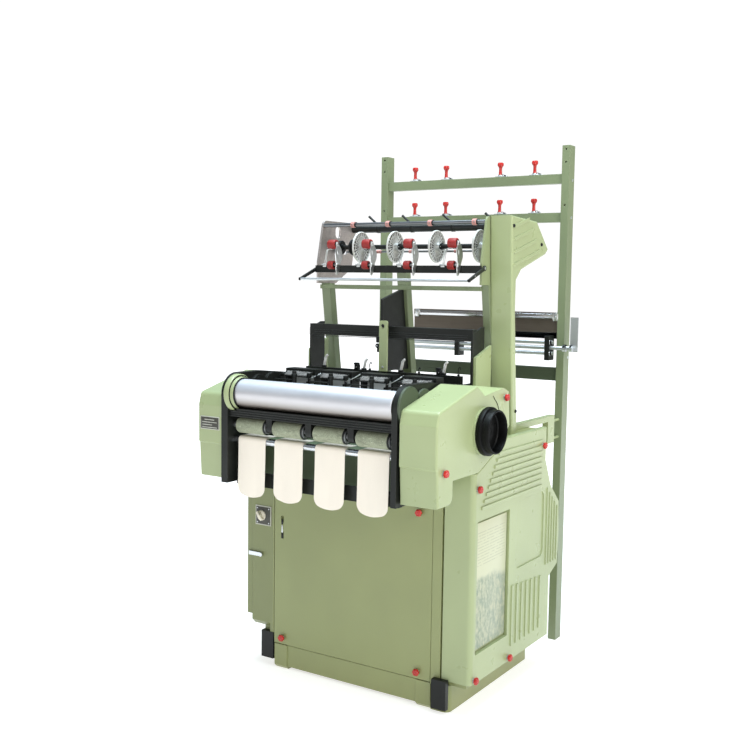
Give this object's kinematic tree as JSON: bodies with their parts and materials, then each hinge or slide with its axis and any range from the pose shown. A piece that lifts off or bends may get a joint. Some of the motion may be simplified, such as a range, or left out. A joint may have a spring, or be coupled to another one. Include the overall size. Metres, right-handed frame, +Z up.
{
  "type": "narrow fabric power loom",
  "caption": "Narrow-fabric power loom: green cabinet, head with take-up rollers and hanging tapes, yarn feeder above and a tall creel stand behind.",
  "frame": {"origin": "on the floor, on the machine's centre plane and at mid-depth of the cabinet", "axes": "+X to the machine's right as seen from the front, +Y to the back, +Z up"},
  "size_m": [1.044, 1.2279, 2],
  "materials": {
    "green_paint": "satin",
    "light_green_paint": "satin",
    "dark_green_paint": "satin",
    "black_paint": "satin",
    "black_plastic": "matte",
    "red_plastic": "satin",
    "aluminium": "brushed",
    "steel": "brushed",
    "chrome": "polished",
    "roller_rubber": "matte",
    "red_rubber": "matte",
    "woven_tape": "matte",
    "clear_plastic": "gloss",
    "grey_plate": "satin"
  },
  "bodies": {
    "frame": {"base_plinth": "green_paint", "breast_tube": "aluminium", "cabinet": "green_paint", "centre_plate": "black_paint", "centre_strap": "light_green_paint", "column_cover": "light_green_paint", "cover_knobs": "red_plastic", "creel_bars": "green_paint", "creel_knobs": "red_plastic", "feeder_arms": "chrome", "feeder_bar": "black_paint", "feeder_plates": "grey_plate", "feeder_tube": "black_paint", "front_panel": "green_paint", "grooved_bar": "black_paint", "guide_rails": "steel", "gussets": "light_green_paint", "harness_frame": "black_paint", "head_deck": "dark_green_paint", "left_head_housing": "light_green_paint", "left_post": "green_paint", "left_side_plate": "black_paint", "lever_rail": "black_paint", "lower_bar": "black_paint", "lower_rear_bar": "dark_green_paint", "lower_rollers": "red_rubber", "right_head_housing": "light_green_paint", "right_post": "green_paint", "right_side_cover": "light_green_paint", "right_side_plate": "black_paint", "stay_beams": "light_green_paint", "stop_levers": "steel", "switch_plate": "black_plastic", "tapes": "woven_tape", "toe_blocks": "black_plastic", "tube_flanges": "light_green_paint", "upright_frame": "green_paint", "warp_brackets": "black_paint", "warp_guard": "steel", "warp_rods": "steel"},
    "drive": {"main_shaft": "steel", "handwheel": "black_plastic"},
    "take_up": {"take_up_roller": "roller_rubber"},
    "press": {"press_rod": "chrome"},
    "feed": {"feed_shaft": "black_paint", "feed_discs": "clear_plastic"},
    "sley_body": {"sley": "black_paint", "reeds": "steel"},
    "needle_1": {"weft_needle_1": "black_paint"},
    "needle_2": {"weft_needle_2": "black_paint"},
    "needle_3": {"weft_needle_3": "black_paint"},
    "needle_4": {"weft_needle_4": "black_paint"},
    "roller_1": {"press_roller_1": "red_rubber"},
    "roller_2": {"press_roller_2": "red_rubber"},
    "roller_3": {"press_roller_3": "red_rubber"},
    "roller_4": {"press_roller_4": "red_rubber"},
    "bail_body": {"bail": "black_paint"},
    "door": {"side_door": "green_paint"},
    "latch": {"door_latch": "chrome"},
    "switch": {"switch_knob": "steel"}
  },
  "joints": [
    {"name": "main_shaft_turn", "type": "hinge", "parent": "frame", "child": "drive", "pos_m": [0, -0.272, 0.968], "axis": [1, 0, 0], "continuous": true},
    {"name": "take_up_turn", "type": "hinge", "parent": "frame", "child": "take_up", "pos_m": [0, -0.542, 0.948], "axis": [1, 0, 0], "continuous": true},
    {"name": "press_rod_turn", "type": "hinge", "parent": "frame", "child": "press", "pos_m": [0, -0.542, 0.897], "axis": [1, 0, 0], "continuous": true},
    {"name": "feed_turn", "type": "hinge", "parent": "frame", "child": "feed", "pos_m": [0, 0.065, 1.586], "axis": [1, 0, 0], "continuous": true},
    {"name": "sley_rock", "type": "hinge", "parent": "frame", "child": "sley_body", "pos_m": [0, -0.22, 0.93], "axis": [1, 0, 0], "range_deg": [-8, 8]},
    {"name": "bail_swing", "type": "hinge", "parent": "frame", "child": "bail_body", "pos_m": [0, -0.044, 1.504], "axis": [1, 0, 0], "range_deg": [-60, 0]},
    {"name": "side_door_hinge", "type": "hinge", "parent": "frame", "child": "door", "pos_m": [-0.474, 0.314, 0.4655], "axis": [0, 0, 1], "range_deg": [-100, 0]},
    {"name": "door_latch_turn", "type": "hinge", "parent": "frame", "child": "latch", "pos_m": [-0.408, -0.324, 0.423], "axis": [0, 1, 0], "range_deg": [0, 90]},
    {"name": "switch_turn", "type": "hinge", "parent": "frame", "child": "switch", "pos_m": [-0.4077, -0.332, 0.573], "axis": [0, 1, 0], "range_deg": [0, 90]},
    {"name": "needle_swing_1", "type": "hinge", "parent": "frame", "child": "needle_1", "pos_m": [-0.228, -0.362, 1], "axis": [0, 0, 1], "range_deg": [-25, 35]},
    {"name": "needle_swing_2", "type": "hinge", "parent": "frame", "child": "needle_2", "pos_m": [-0.068, -0.362, 1], "axis": [0, 0, 1], "range_deg": [-25, 35]},
    {"name": "needle_swing_3", "type": "hinge", "parent": "frame", "child": "needle_3", "pos_m": [0.103, -0.362, 1], "axis": [0, 0, 1], "range_deg": [-25, 35]},
    {"name": "needle_swing_4", "type": "hinge", "parent": "frame", "child": "needle_4", "pos_m": [0.274, -0.362, 1], "axis": [0, 0, 1], "range_deg": [-25, 35]},
    {"name": "press_roller_turn_1", "type": "hinge", "parent": "frame", "child": "roller_1", "pos_m": [-0.261, -0.086, 1.591], "axis": [1, 0, 0], "continuous": true},
    {"name": "press_roller_turn_2", "type": "hinge", "parent": "frame", "child": "roller_2", "pos_m": [-0.105, -0.086, 1.591], "axis": [1, 0, 0], "continuous": true},
    {"name": "press_roller_turn_3", "type": "hinge", "parent": "frame", "child": "roller_3", "pos_m": [0.076, -0.086, 1.591], "axis": [1, 0, 0], "continuous": true},
    {"name": "press_roller_turn_4", "type": "hinge", "parent": "frame", "child": "roller_4", "pos_m": [0.257, -0.086, 1.591], "axis": [1, 0, 0], "continuous": true}
  ],
  "couplings": [
    {"joint": "take_up_turn", "follows": "main_shaft_turn", "ratio": -0.02},
    {"joint": "press_rod_turn", "follows": "main_shaft_turn", "ratio": 0.045},
    {"joint": "feed_turn", "follows": "main_shaft_turn", "ratio": 0.6},
    {"joint": "needle_swing_2", "follows": "needle_swing_1", "ratio": 1},
    {"joint": "needle_swing_3", "follows": "needle_swing_1", "ratio": 1},
    {"joint": "needle_swing_4", "follows": "needle_swing_1", "ratio": 1}
  ]
}
